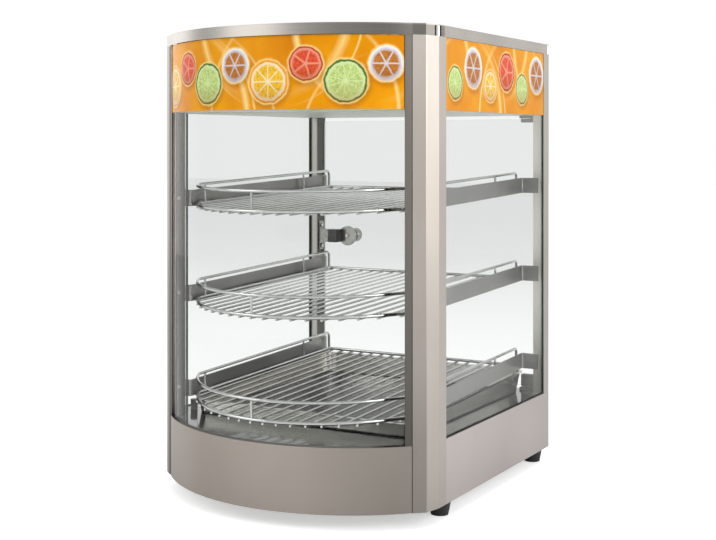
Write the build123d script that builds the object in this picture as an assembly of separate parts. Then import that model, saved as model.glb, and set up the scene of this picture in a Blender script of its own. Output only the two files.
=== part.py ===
# Heated countertop display case with a curved glass front, three wire racks and a rear glass door.
# Millimetres. +X is the case's right as seen from the front, +Y points to the back, +Z up.
# The origin is on the counter, at the middle of the whole case's outline in plan.
import math
import os

from build123d import *

os.makedirs("parts", exist_ok=True)

# Shell
case_width = 400
case_depth = 480
body_height = 585
foot_height = 20
base_height = 80
rim_height = 14
banner_height = 89
sheet = 1.2
front_radius = 252
panel_recess = 1.2
rear_corner_radius = 4

# Front columns, in plan: from the glass round a bevel and a slanted face to the side
column_front_x = 18
column_lip = 9.2
column_bevel = 10.8
column_fold_x = 5.5
column_face = 24
column_side = 20
column_web = 9.5
column_wall_from_side = 27
column_wall_from_fold = 12.5
lip_overlap = 0.2

# Rear posts, in plan
post_width = 18
post_depth = 23

# Glass, its rubber and the printed header panels
glass = 4
glass_recess = 1.6
gasket_wall = 0.8
gasket_cover = 4
rear_strip_cover = 1.5
channel_depth = 6
strip_setback = 0.3
angle_gap = 0.1
banner_sheet = 1.2
film_gap = 0.2
fit_gap = 0.2
body_gap = 0.3

# Rails and racks
rail_height = 22
rail_sheet = 1.5
rail_ledge = 7.5
rail_from_side = 36
rail_tab = 26
rail_bend = 4
rail_screw_from_side = 15.5
rack_tilt = 2
rack_pitch = 127.5
rack_count = 3
lowest_rail_top = 50
tilt_from_back = 201
rack_side_gap = 6
rack_front_bulge = 22
rack_front_gap = 18
rack_rear_gap = 28
rack_corner = 12
rack_rear_corner = 6
rack_wire = 4.5
rod_wire = 3
rod_pitch = 18
rod_overhang = 3
weld = 0.8
guard_height = 25
guard_wire = 4
guard_bend = 6
front_post_x = -9
side_post_from_front = 107
side_post_from_rear = 76

# Pan that stands on the deck
pan_from_side = 34
pan_rear_gap = 17
pan_draft = 6
pan_front_gap = 104
pan_front_height = 18
pan_sheet = 1
pan_corner = 14
pan_rim = 3

# Door
door_glass = 5
door_side_gap = 1.6
door_end_gap = 5
door_axis_gap = 10
door_clip_relief = 0.5
door_clip_length = 24
lower_clip_height = 17
upper_clip_height = 5
door_clip_wall = 1.5
hinge_pin = 6
running_gap = 0.05
pivot_plate = 4
pivot_plate_x = 30
pivot_plate_y = 14
knob_from_side = 63
knob_z = 315
knob_diameter = 22
knob_neck = 10
knob_neck_length = 8
knob_edge = 3
knob_screw = 6
handle_reach = 24
disc_diameter = 31
disc_thickness = 3
disc_edge = 1
magnet = (15, 15, 20)
magnet_from_knob = 11.5
bracket_height = 45
bracket_depth = 12
bracket_sheet = 1.5

# Header
lamp_diameter = 16
lamp_length = 288
lamp_from_front = 110
lamp_height = 40
holder = (14, 24, 52)
diffuser = (280, 70, 3)
diffuser_seat = 5
ceiling_flange = 10
header_slots = 14
header_slot = (16, 3)
header_slot_pitch = 22
header_slot_heights = (49, 67)

# Base and controls, on the back panel
deck_flange = 8
glass_shelf = 9
base_lip = 12
panel_lap = 10
lap_end = 5
vent_slot = (60, 5)
vent_rows = 6
vent_pitch = (84, 14)
control_z = 42
thermostat_x = 95
thermostat_hole = 8
thermostat_body = (38, 26, 34)
shaft_diameter = 6
shaft_grip = 10
dial_diameter = 38
dial_height = 18
dial_skirt = 4
dial_grip = 27
dial_grip_edge = 1.5
dial_wing = (6, 26)
switch_xs = {"power_switch": 20, "light_switch": -30}
switch_hole = (14, 27)
bezel = (19, 32, 2)
switch_depth = 18
rocker_width = 11
rocker_length = 21
rocker_tilt = 10
rocker_tip = 3.5
rocker_dip = 1.6
rocker_skirt = 3
rocker_pin = 3
rocker_end_gap = 1
lamp_lens_x = 58
lamp_lens = 10
lamp_lens_depth = 12
lamp_cap = 13
lamp_cap_height = 4
lamp_cap_edge = 2
gland_x = -125
gland_hole = 16
gland_bore = 7.4
gland_flange = 24
gland_flange_height = 4
gland_reach = 14
gland_depth = 12
terminal_block = (46, 20, 18)
terminal_from_back = 60

# Stops on the deck
deck_stop = (7.6, 7.6, 14)
deck_stop_edge = 1
deck_stop_from_side = 22
deck_stop_from_wall = 16.5

# Heating element
element_tube = 8
element_drop = 16
element_half_width = 120
element_runs_y = (-120, 40)
element_lead_x = 60
element_lead_y = 150
element_bend = 24
element_clip = (14, 4)

# Feet and screws
foot_top = 30
foot_bottom = 22
foot_from_side = 20
foot_front_y = 155
foot_from_back = 18
foot_floor = 7
foot_screw = 5
foot_screw_head = (9, 3)
screw_head = 7
screw_head_height = 2.4
screw_shank = 3.6
screw_length = 7
panel_screw_from_side = 16
panel_screw_heights = (16, 62)
trim_radius = 4.2
corner_notch = 8

# Places worked out from the sizes
half = case_width / 2
front_y = -(case_depth + handle_reach) / 2
back_y = front_y + case_depth
arc_y = front_y + front_radius
base_z = foot_height
deck_z = base_z + base_height
top_z = base_z + body_height
rim_z = top_z - rim_height
ceiling_z = rim_z - banner_height
panel_radius = front_radius - panel_recess
column_start_x = half - column_front_x
column_angle = math.degrees(math.asin(column_start_x / front_radius))
column_lip_angle = column_angle - math.degrees(column_lip / panel_radius)
column_start_y = arc_y - math.sqrt(front_radius**2 - column_start_x**2)
column_fold_y = column_start_y + column_bevel
column_corner_y = column_fold_y + column_face
column_end_y = column_corner_y + column_side
column_wall_x = half - column_wall_from_side
column_wall_back = column_fold_y + column_wall_from_fold
glass_radius = panel_radius - sheet - glass_recess
shelf_z = deck_z - deck_flange
post_front_y = back_y - post_depth
post_inner_x = half - post_width
side_glass_x = half - sheet - gasket_wall
gasket_inner_x = side_glass_x - glass - gasket_wall
rail_x = half - rail_from_side
rail_tab_x = rail_x + rail_tab
rail_screw_x = half - rail_screw_from_side
rack_half_width = rail_x - rack_side_gap
rack_front_radius = rack_half_width + rack_front_bulge
rod_count = int(2 * (rack_half_width - rack_wire) / rod_pitch) + 1
pan_half_width = half - pan_from_side
knob_x = knob_from_side - half
magnet_inner_x = knob_x - magnet_from_knob
tilt_y = back_y - tilt_from_back
slope = math.tan(math.radians(rack_tilt))
door_bottom = deck_z + door_end_gap
door_top = ceiling_z - door_end_gap
door_half = post_inner_x - door_side_gap
door_y = back_y - door_glass / 2
door_axis_x = post_inner_x - door_axis_gap


def at_angle(radius, degrees):
    """Point on a circle about the front's centre, degrees to the right of straight ahead."""
    turn = math.radians(degrees)
    return (radius * math.sin(turn), arc_y - radius * math.cos(turn))


def block(x, y, z):
    """Box between two limits on each axis."""
    size = (abs(x[1] - x[0]), abs(y[1] - y[0]), abs(z[1] - z[0]))
    return Pos((x[0] + x[1]) / 2, (y[0] + y[1]) / 2, (z[0] + z[1]) / 2) * Box(*size)


def curved_wall(outer, thickness, from_angle, to_angle, bottom, top):
    """Upright wall that follows the curved front."""
    outside = CenterArc((0, arc_y), outer, from_angle - 90, to_angle - from_angle)
    inside = CenterArc((0, arc_y), outer - thickness, from_angle - 90, to_angle - from_angle)
    ends = [Line(outside @ 0, inside @ 0), Line(outside @ 1, inside @ 1)]
    return Pos(0, 0, bottom) * extrude(make_face([outside, inside, *ends]), top - bottom)


def moved_left(points, distance):
    """A line of points moved sideways to its left, with mitred corners."""
    moved = []
    for i, (x, y) in enumerate(points):
        normal_x = 0
        normal_y = 0
        sides = 0
        for j in (i - 1, i):
            if 0 <= j < len(points) - 1:
                dx = points[j + 1][0] - points[j][0]
                dy = points[j + 1][1] - points[j][1]
                length = math.hypot(dx, dy)
                normal_x -= dy / length
                normal_y += dx / length
                sides += 1
        scale = distance * sides / (normal_x**2 + normal_y**2)
        moved.append((x + normal_x * scale, y + normal_y * scale))
    return moved


def bent_sheet(points, thickness, bottom, top):
    """Upright sheet bent along a line of points, thickened to the line's left."""
    outline = points + moved_left(points, thickness)[::-1]
    return Pos(0, 0, bottom) * extrude(make_face(Polyline(*outline, close=True)), top - bottom)


def rod(start, end, diameter):
    """Round bar between two points."""
    axis = Vector(*end) - Vector(*start)
    return Plane(origin=start, z_dir=axis) * extrude(Circle(diameter / 2), axis.length)


def bent_wire(path, diameter):
    """Round wire along a smooth path."""
    return sweep(Plane(origin=path @ 0, z_dir=path % 0) * Circle(diameter / 2), path=path)


def mirrored(shape):
    return mirror(shape, about=Plane.YZ)


def both_sides(shape):
    return shape + mirrored(shape)


def save(name, shape):
    """Writes one sub-part as a file of its separate solids."""
    solids = shape.solids()
    whole = solids[0] if len(solids) == 1 else Compound(children=list(solids))
    export_step(whole, f"parts/{name}.step")


def pan_head(x, y, z, toward):
    """Screw whose head lies on a face at the point; it points along toward into the metal."""
    seat = Plane(origin=(x, y, z), z_dir=toward)
    head = extrude(Circle(screw_head / 2), -screw_head_height)
    rim = head.edges().group_by(Axis.Z)[0]
    return seat * (fillet(rim, screw_head_height / 2) + extrude(Circle(screw_shank / 2), screw_length))


def screw_holes(places):
    """Clearance holes for screws, each given as its point and direction."""
    hole = extrude(Circle(screw_shank / 2 + running_gap), screw_length)
    return Part() + [Plane(origin=(x, y, z), z_dir=toward) * hole for x, y, z, toward in places]


# Outline of the case in plan, from the right end of the curved front to the rear corner
column_start = (column_start_x, column_start_y)
column_fold = (half - column_fold_x, column_fold_y)
column_corner = (half, column_corner_y)
column_end = (half, column_end_y)


def case_face():
    """Plan outline of the whole case, as a face."""
    front = CenterArc((0, arc_y), front_radius, -90 - column_angle, 2 * column_angle)
    right = [column_start, column_fold, column_corner, (half, back_y)]
    left = [(-x, y) for x, y in right[::-1]]
    outline = make_face([front, Polyline(*right, *left)])
    rear = outline.vertices().group_by(Axis.Y)[-1]
    return fillet(rear, rear_corner_radius)


def inner_face(arc_radius, side_x, rear_y):
    """Plan outline of a sheet that lies inside the glass, notched round the front columns."""
    notch = column_wall_x - channel_depth
    notch_y = arc_y - math.sqrt(arc_radius**2 - notch**2)
    right = [(notch, notch_y), (notch, column_wall_back + fit_gap), (side_x, column_wall_back + fit_gap)]
    right.append((side_x, rear_y))
    left = [(-x, y) for x, y in right[::-1]]
    front = ThreePointArc(left[-1], (0, arc_y - arc_radius), right[0])
    return make_face([front, Polyline(*right, *left)])


def edged_sheet(face, bottom, flange, opens_up):
    """Flat sheet with a flange all round, turned up or down."""
    whole = extrude(face, flange)
    inside = extrude(offset(face, -sheet, kind=Kind.INTERSECTION), flange - sheet)
    lift = sheet if opens_up else 0
    return Pos(0, 0, bottom) * (whole - Pos(0, 0, lift) * inside)


# Screws of the case: one at the front end of every rail, four on the back panel, two on the door's catch
rack_names = ["bottom", "middle", "top"]
rail_tops = [deck_z + lowest_rail_top + i * rack_pitch for i in range(rack_count)]


def sloped(y, z):
    """Height of a sloping line at y, where z is its height at the middle of the rail."""
    return z + (y - tilt_y) * slope


tab_screws = []
for rail_top in rail_tops:
    screw_z = sloped(column_wall_back, rail_top - rail_height / 2)
    tab_screws.append((rail_screw_x, column_wall_back - sheet, screw_z, (0, 1, 0)))
panel_screw_x = half - panel_screw_from_side
panel_screws = [(panel_screw_x, back_y, base_z + z, (0, -1, 0)) for z in panel_screw_heights]

# Base: curved front skirt with a shelf for the glass and a lip for the bottom plate
skirt_angle = column_angle - angle_gap
base_front_skirt = curved_wall(panel_radius, sheet, -skirt_angle, skirt_angle, base_z, deck_z)
for lip_z, lip_width in ((base_z, base_lip), (shelf_z - sheet, glass_shelf)):
    lip = curved_wall(panel_radius, lip_width, -column_lip_angle, column_lip_angle, lip_z, lip_z + sheet)
    base_front_skirt += lip
save("base_front_skirt", base_front_skirt)

# Base side panels, wrapped round the rear corners
side_outline = [(post_inner_x, back_y), (half, back_y), (half, column_end_y + fit_gap)]


def base_side_panel():
    wall = bent_sheet(side_outline[::-1], sheet, base_z, deck_z)
    corner = wall.edges().filter_by(Axis.Z).sort_by(lambda e: e.center().X + e.center().Y)
    wall = fillet(corner[-1], rear_corner_radius)
    span = (column_end_y + fit_gap, back_y - sheet)
    lip = block((half - base_lip, half - sheet), span, (base_z, base_z + sheet))
    shelf = block((half - glass_shelf, half - sheet), (span[0], post_front_y), (shelf_z - sheet, shelf_z))
    return wall + lip + shelf - screw_holes(panel_screws)


save("base_side_panel_right", base_side_panel())
save("base_side_panel_left", mirrored(base_side_panel()))

# Base back panel, which carries the controls
panel_half = post_inner_x - fit_gap
panel_y = (back_y - sheet, back_y)
base_back_panel = block((-panel_half, panel_half), panel_y, (base_z, deck_z))
lap_x = (panel_half - panel_lap, panel_half + panel_lap)
lap = block(lap_x, (back_y - 2 * sheet, back_y - sheet), (base_z + lap_end, shelf_z))
base_back_panel += both_sides(lap - screw_holes(panel_screws))
controls_z = base_z + control_z


def round_hole(x, diameter):
    return rod((x, back_y - 3 * sheet, controls_z), (x, back_y + sheet, controls_z), diameter)


base_back_panel -= round_hole(thermostat_x, thermostat_hole)
base_back_panel -= round_hole(lamp_lens_x, lamp_lens)
base_back_panel -= round_hole(gland_x, gland_hole)
for switch_x in switch_xs.values():
    width, tall = switch_hole
    hole_x = (switch_x - width / 2, switch_x + width / 2)
    hole_z = (controls_z - tall / 2, controls_z + tall / 2)
    base_back_panel -= block(hole_x, (back_y - 3 * sheet, back_y + sheet), hole_z)
save("base_back_panel", base_back_panel)

# Bottom plate with vent slots, lying on the lips
feet_at = [
    (side * (half - foot_from_side), y)
    for side in (-1, 1)
    for y in (front_y + foot_front_y, back_y - foot_from_back)
]
plate_face = inner_face(panel_radius - sheet - fit_gap, half - base_lip / 2, back_y - 3 * sheet)
bottom_plate = Pos(0, 0, base_z + sheet) * extrude(plate_face, sheet)
for row in range(vent_rows):
    for column in (-1, 0, 1):
        slot_y = (row - (vent_rows - 1) / 2) * vent_pitch[1]
        slot_x = column * vent_pitch[0]
        bottom_plate -= Pos(slot_x, slot_y, base_z + 1.5 * sheet) * Box(*vent_slot, 3 * sheet)
for x, y in feet_at:
    bottom_plate -= rod((x, y, base_z), (x, y, base_z + 3 * sheet), foot_screw + 2 * running_gap)
save("bottom_plate", bottom_plate)

# Deck: floor of the heated chamber, its flange standing on the shelves
deck_radius = glass_radius - glass - gasket_wall - fit_gap
deck_face = inner_face(deck_radius, gasket_inner_x - fit_gap, back_y - 2 * sheet - fit_gap)
save("deck", edged_sheet(deck_face, shelf_z, deck_flange, opens_up=False))

# Two small stops that stand on the deck behind the front columns
stop_x = (half - deck_stop_from_side - deck_stop[0], half - deck_stop_from_side)
stop_y = (column_wall_back + deck_stop_from_wall, column_wall_back + deck_stop_from_wall + deck_stop[1])
deck_stop_block = block(stop_x, stop_y, (deck_z, deck_z + deck_stop[2]))
upright = deck_stop_block.edges().filter_by(Axis.Z)
save("deck_stops", both_sides(chamfer(upright, deck_stop_edge)))

# Feet and their screws
feet = None
foot_screws = None
for x, y in feet_at:
    foot = Pos(x, y, foot_height / 2) * Cone(foot_bottom / 2, foot_top / 2, foot_height)
    foot -= rod((x, y, foot_floor), (x, y, foot_height), foot_screw)
    feet = foot if feet is None else feet + foot
    plate_top = base_z + 2 * sheet
    screw = rod((x, y, foot_floor), (x, y, plate_top), foot_screw)
    screw += rod((x, y, plate_top), (x, y, plate_top + foot_screw_head[1]), foot_screw_head[0])
    foot_screws = screw if foot_screws is None else foot_screws + screw
save("feet", feet)
save("foot_screws", foot_screws)


# Front columns: a folded skin with a web at the glass end, a flange for the rails and a lip on the glass
def front_column():
    web_end = at_angle(front_radius - column_web, column_angle)
    skin = bent_sheet([web_end, column_start, column_fold, column_corner, column_end], sheet, base_z, rim_z)
    face_slope = column_fold_x / (column_corner[1] - column_fold[1])
    wall_end_x = column_corner[0] - face_slope * (column_corner[1] - column_wall_back) - sheet / 2
    wall_y = (column_wall_back - sheet, column_wall_back)
    wall = block((column_wall_x, wall_end_x), wall_y, (base_z, rim_z))
    lip_end = column_angle + lip_overlap
    lip = curved_wall(panel_radius, sheet, column_lip_angle, lip_end, deck_z + body_gap, rim_z)
    return skin + wall + lip - screw_holes(tab_screws)


save("front_column_right", front_column())
save("front_column_left", mirrored(front_column()))


# Rear posts: square tubes with a rounded outer corner, standing on the base
def rear_post():
    middle = Pos((post_inner_x + half) / 2, (post_front_y + back_y) / 2)
    face = make_face((middle * Rectangle(post_width, post_depth)).edges())
    corner = face.vertices().sort_by(lambda v: v.center().X + v.center().Y)[-1]
    face = fillet(corner, rear_corner_radius)
    section = face - offset(face, -sheet, kind=Kind.INTERSECTION)
    return Pos(0, 0, deck_z) * extrude(section, rim_z - deck_z)


magnet_y_end = back_y - door_glass - disc_thickness - body_gap
bracket_y = (magnet_y_end - bracket_depth, magnet_y_end)
bracket_face_x = -post_inner_x + bracket_sheet
screw_rise = (bracket_height + magnet[2]) / 4
catch_screws = [
    (bracket_face_x, sum(bracket_y) / 2, knob_z + rise, (-1, 0, 0)) for rise in (-screw_rise, screw_rise)
]
save("rear_post_right", rear_post())
save("rear_post_left", mirrored(rear_post()) - screw_holes(catch_screws))

# Top cover: flat top with a rim, open at the four corners where rounded trims show
cover_face = case_face()
inside_face = offset(cover_face, -sheet, kind=Kind.INTERSECTION)
top_cover = extrude(cover_face, rim_height) - extrude(inside_face, rim_height - sheet)
top_cover = Pos(0, 0, rim_z) * top_cover
for x, y in (column_corner, (half, back_y)):
    notch_x = (x - corner_notch, x + corner_notch)
    notch = block(notch_x, (y - corner_notch, y + corner_notch), (rim_z, top_z - sheet))
    top_cover -= both_sides(notch)
save("top_cover", top_cover)

cover_corner_trims = None
front_trim = (half - trim_radius - body_gap, column_corner[1] + trim_radius / 2)
rear_trim = (half - trim_radius - body_gap, back_y - trim_radius - body_gap)
for x, y in (front_trim, rear_trim):
    trim = both_sides(rod((x, y, rim_z), (x, y, top_z - sheet), 2 * trim_radius))
    cover_corner_trims = trim if cover_corner_trims is None else cover_corner_trims + trim
save("cover_corner_trims", cover_corner_trims)

# Ceiling of the chamber, with an opening for the lamp's diffuser
ceiling_radius = glass_radius - glass - fit_gap
ceiling_face = inner_face(ceiling_radius, gasket_inner_x - fit_gap, back_y - sheet - fit_gap)
post_clear_x = post_inner_x - fit_gap
cut_z = (ceiling_z, ceiling_z + ceiling_flange)
post_cut = block((post_clear_x, half), (post_front_y - fit_gap, back_y), cut_z)
ceiling = edged_sheet(ceiling_face, ceiling_z, ceiling_flange, opens_up=True) - both_sides(post_cut)
lamp_y = front_y + lamp_from_front
opening_x = diffuser[0] / 2 - diffuser_seat
opening_y = diffuser[1] / 2 - diffuser_seat
ceiling -= block((-opening_x, opening_x), (lamp_y - opening_y, lamp_y + opening_y), cut_z)
save("ceiling", ceiling)

diffuser_z = ceiling_z + sheet + diffuser[2] / 2
save("lamp_diffuser", Pos(0, lamp_y, diffuser_z) * Box(*diffuser))

# Lamp tube and its two holders, standing on the ceiling
tube_z = ceiling_z + lamp_height
holder_x = lamp_length / 2
lamp_tube = rod((-holder_x, lamp_y, tube_z), (holder_x, lamp_y, tube_z), lamp_diameter)
save("lamp_tube", lamp_tube)
lamp_holder = block(
    (holder_x, holder_x + holder[0]),
    (lamp_y - holder[1] / 2, lamp_y + holder[1] / 2),
    (ceiling_z + sheet, ceiling_z + sheet + holder[2]),
)
save("lamp_holders", both_sides(lamp_holder))

# Header back panel with vent slots
header_back = block((-panel_half, panel_half), panel_y, (ceiling_z, rim_z))
for i in range(header_slots):
    slot_x = (i - (header_slots - 1) / 2) * header_slot_pitch
    for height in header_slot_heights:
        slot = Box(header_slot[0], 4 * sheet, header_slot[1])
        header_back -= Pos(slot_x, back_y, ceiling_z + height) * slot
save("header_back_panel", header_back)

# Curved front glass and flat side glasses
glass_bottom = shelf_z + gasket_wall
glass_top = rim_z
glass_angle = column_angle - 4 * angle_gap
front_glass = curved_wall(glass_radius, glass, -glass_angle, glass_angle, glass_bottom, glass_top)
save("front_glass", front_glass)

side_glass_front = column_end_y - gasket_cover
side_glass_back = post_front_y - gasket_wall
side_glass = block(
    (side_glass_x - glass, side_glass_x), (side_glass_front, side_glass_back), (glass_bottom, glass_top)
)
save("side_glass_right", side_glass)
save("side_glass_left", mirrored(side_glass))

# Rubber channels round the glass: along the bottoms and up the vertical edges
channel_radius = glass_radius + gasket_wall
channel_top = deck_z + gasket_wall
channel_wall = glass + 2 * gasket_wall
front_channel = curved_wall(channel_radius, channel_wall, -glass_angle, glass_angle, shelf_z, channel_top)
front_channel -= front_glass
strip_angle = column_lip_angle + strip_setback
end_strip = curved_wall(channel_radius, gasket_wall, strip_angle, glass_angle, channel_top, ceiling_z)
front_channel += both_sides(end_strip)
save("front_glass_gasket", front_channel)

channel_x = (gasket_inner_x, half - sheet)
bottom_channel = block(channel_x, (side_glass_front, post_front_y), (shelf_z, channel_top))
front_strip = block(channel_x, (side_glass_front, column_end_y), (deck_z, ceiling_z))
rear_strip_x = (side_glass_x - gasket_wall, half - sheet)
rear_strip = block(rear_strip_x, (post_front_y - rear_strip_cover, post_front_y), (deck_z, ceiling_z))
side_channel = bottom_channel + front_strip + rear_strip - side_glass
save("side_glass_gaskets", both_sides(side_channel))

# Printed header panels on the outside of the glass
banner_bottom = ceiling_z
banner_top = rim_z - body_gap
banner_angle = column_lip_angle - angle_gap
banner_radius = glass_radius + film_gap + banner_sheet
front_banner = curved_wall(
    banner_radius, banner_sheet, -banner_angle, banner_angle, banner_bottom, banner_top
)
save("front_banner", front_banner)
banner_x = (side_glass_x + film_gap, side_glass_x + film_gap + banner_sheet)
banner_y = (column_end_y + body_gap, post_front_y - body_gap)
side_banner = block(banner_x, banner_y, (banner_bottom, banner_top))
save("side_banner_right", side_banner)
save("side_banner_left", mirrored(side_banner))

# Rails: sloping strips with a ledge at the foot, ends turned out to tabs on the column and the post
rail_front_y = column_wall_back


def sloping_bar(x, y, low, high):
    """Bar along Y whose top and bottom follow the slope while its ends stay upright."""
    corner_points = [(y[0], sloped(y[0], low)), (y[1], sloped(y[1], low))]
    corner_points += [(y[1], sloped(y[1], high)), (y[0], sloped(y[0], high))]
    face = Plane.YZ * make_face(Polyline(*corner_points, close=True))
    return Pos(x[0], 0, 0) * extrude(face, x[1] - x[0])


def rail(top):
    line = [
        (rail_tab_x, rail_front_y),
        (rail_x, rail_front_y),
        (rail_x, post_front_y),
        (rail_tab_x, post_front_y),
    ]
    strip = bent_sheet(line, -rail_sheet, top - 2 * rail_height, top + rail_height)
    for bend_x, bend in ((rail_x, rail_bend), (rail_x + rail_sheet, rail_bend - rail_sheet)):
        corner = strip.edges().filter_by(Axis.Z).filter_by(lambda e: abs(e.center().X - bend_x) < 0.01)
        strip = fillet(corner, bend)
    low = top - rail_height
    strip &= sloping_bar((rail_x - 1, rail_tab_x + 1), (rail_front_y - 1, post_front_y + 1), low, top)
    ledge_y = (rail_front_y + 2 * rail_bend, post_front_y - 2 * rail_bend)
    strip += sloping_bar((rail_x - rail_ledge, rail_x + rail_sheet / 2), ledge_y, low, low + rail_sheet)
    return strip - screw_holes(tab_screws)


for name, rail_top in zip(rack_names, rail_tops):
    right_rail = rail(rail_top)
    save(f"rail_right_{name}", right_rail)
    save(f"rail_left_{name}", mirrored(right_rail))

# Racks: a wire loop with cross rods under it, and a guard wire on posts round three sides
rack_front = front_y + rack_front_gap
rack_rear = back_y - rack_rear_gap
rack_arc_y = rack_front + rack_front_radius
corner_x = rack_half_width - rack_corner
corner_y = rack_arc_y - math.sqrt((rack_front_radius - rack_corner) ** 2 - corner_x**2)
reach = rack_front_radius / (rack_front_radius - rack_corner)
arc_start = (corner_x * reach, rack_arc_y + (corner_y - rack_arc_y) * reach)


def rack_front_edge(height):
    """Right front corner and right half of the curved front of a rack wire, at one height."""
    corner = TangentArc((rack_half_width, corner_y, height), (*arc_start, height), tangent=(0, -1, 0))
    return [corner, TangentArc((*arc_start, height), (0, rack_front, height), tangent=corner % 1)]


def both_halves(edges):
    """Wire through the edges of its right half and their mirror images."""
    return Wire([*edges, *[mirrored(edge).edges()[0] for edge in edges]])


def rack_edge_y(x):
    """Where the front wire's middle lies at x."""
    if abs(x) <= arc_start[0]:
        return rack_arc_y - math.sqrt(rack_front_radius**2 - x**2)
    return corner_y - math.sqrt(rack_corner**2 - (abs(x) - corner_x) ** 2)


def rack_tray():
    rear_side = rack_rear - rack_rear_corner
    rear_x = rack_half_width - rack_rear_corner
    rear = Line((0, rack_rear, 0), (rear_x, rack_rear, 0))
    rear_corner = TangentArc(rear @ 1, (rack_half_width, rear_side, 0), tangent=(1, 0, 0))
    side = Line(rear_corner @ 1, (rack_half_width, corner_y, 0))
    loop = bent_wire(both_halves([rear, rear_corner, side, *rack_front_edge(0)]), rack_wire)
    rod_z = weld - (rack_wire + rod_wire) / 2
    rods = []
    for i in range(rod_count):
        x = (i - (rod_count - 1) / 2) * rod_pitch
        start = (x, rack_edge_y(x) - rod_overhang, rod_z)
        rods.append(rod(start, (x, rack_rear + rod_overhang, rod_z), rod_wire))
    return loop.fuse(*rods)


def rack_guard():
    leg_top = guard_height - guard_bend
    leg = Line((rack_half_width, rack_rear, 0), (rack_half_width, rack_rear, leg_top))
    bend = TangentArc(leg @ 1, (rack_half_width, rack_rear - guard_bend, guard_height), tangent=(0, 0, 1))
    side = Line(bend @ 1, (rack_half_width, corner_y, guard_height))
    guard = bent_wire(both_halves([leg, bend, side, *rack_front_edge(guard_height)]), guard_wire)
    posts = [(front_post_x, rack_edge_y(front_post_x))]
    for side_x in (-rack_half_width, rack_half_width):
        posts.append((side_x, rack_front + side_post_from_front))
        posts.append((side_x, rack_rear - side_post_from_rear))
    for x, y in posts:
        guard += rod((x, y, rack_wire / 4), (x, y, guard_height), rod_wire)
    return guard


tray_flat = rack_tray()
guard_flat = rack_guard()
loop_lift = rail_sheet + body_gap + rack_wire / 2 - rail_height
for name, rail_top in zip(rack_names, rail_tops):
    place = Pos(0, tilt_y, rail_top + loop_lift) * Rot(X=rack_tilt) * Pos(0, -tilt_y, 0)
    save(f"rack_tray_{name}", place * tray_flat)
    save(f"rack_guard_{name}", place * guard_flat)

# Pan on the deck: drafted walls, low at the front and high at the back, with a turned rim
pan_bottom = deck_z + body_gap
pan_y = (front_y + pan_front_gap, back_y - pan_rear_gap)
pan_length = pan_y[1] - pan_y[0]
pan_back_height = pan_front_height + pan_length * slope
pan_mid_y = (pan_y[0] + pan_y[1]) / 2


def pan_block(inset, floor):
    """Drafted block with rounded corners, inset from the pan's outside."""
    tall = 2 * pan_back_height
    levels = []
    for z, spread in ((0, -pan_draft), (tall, pan_draft)):
        outline = RectangleRounded(
            2 * (pan_half_width + spread - inset),
            pan_length + 2 * (spread - inset),
            pan_corner + spread + pan_draft - inset,
        )
        levels.append((Pos(0, 0, z) * outline).face())
    return Pos(0, pan_mid_y, floor) * loft(levels)


def above_slope(height_at_front, tall):
    """Block over a plane that rises to the back at the rack's slope."""
    ends = []
    for y in (pan_y[0] - pan_length, pan_y[1] + pan_length):
        ends.append((y, pan_bottom + height_at_front + (y - pan_y[0]) * slope))
    outline = Polyline(*ends, *[(y, z + tall) for y, z in ends[::-1]], close=True)
    return extrude(Plane.YZ * make_face(outline), case_width, both=True)


water_pan = pan_block(0, pan_bottom) - pan_block(pan_sheet, pan_bottom + pan_sheet)
water_pan -= above_slope(pan_front_height, case_width)
rim_band = pan_block(-pan_rim, pan_bottom) - pan_block(0, pan_bottom)
rim_band &= above_slope(pan_front_height - pan_sheet, pan_sheet)
save("water_pan", water_pan + rim_band)

# Door: a glass leaf with two clips, whose pins turn in plates on the deck and the header
door_y_span = (back_y - door_glass, back_y)
door = block((-door_half, door_half), door_y_span, (door_bottom, door_top))
knob_stem = rod((knob_x, back_y - door_glass, knob_z), (knob_x, back_y, knob_z), knob_screw)
save("door_glass", door - knob_stem)

clip_x = (door_half - door_clip_length, door_half - door_clip_relief)
clip_y = (door_y_span[0] - door_clip_wall, door_y_span[1] + door_clip_wall)
pin_reach = pivot_plate - body_gap


def hinge_clip(edge_z, inward, height):
    """Clip over a corner of the door, with a pin that points out of it; inward is +1 for the lower one."""
    outer_z = edge_z - inward * door_clip_wall / 4
    body = block(clip_x, clip_y, sorted((outer_z, edge_z + inward * height)))
    body -= door
    pin_end = edge_z - inward * (door_end_gap - pivot_plate + pin_reach)
    return body + rod((door_axis_x, door_y, edge_z), (door_axis_x, door_y, pin_end), hinge_pin)


lower_clip = hinge_clip(door_bottom, 1, lower_clip_height)
upper_clip = hinge_clip(door_top, -1, upper_clip_height)
save("door_hinge_clips", lower_clip + upper_clip)

plate_x = (door_axis_x - pivot_plate_x / 2, post_inner_x - fit_gap)
plate_y = (back_y - pivot_plate_y, back_y)
pin_hole = rod((door_axis_x, door_y, deck_z), (door_axis_x, door_y, ceiling_z), hinge_pin + 2 * running_gap)
lower_plate = block(plate_x, plate_y, (deck_z, deck_z + pivot_plate)) - pin_hole
upper_plate = block(plate_x, plate_y, (ceiling_z - pivot_plate, ceiling_z)) - pin_hole
save("door_pivot_plates", lower_plate + upper_plate)

knob_neck_end = back_y + knob_neck_length
door_knob = rod((knob_x, back_y, knob_z), (knob_x, knob_neck_end, knob_z), knob_neck)
grip = rod((knob_x, knob_neck_end, knob_z), (knob_x, back_y + handle_reach, knob_z), knob_diameter)
grip = fillet(grip.edges().filter_by(GeomType.CIRCLE), knob_edge)
save("door_knob", door_knob + grip + knob_stem)

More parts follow.
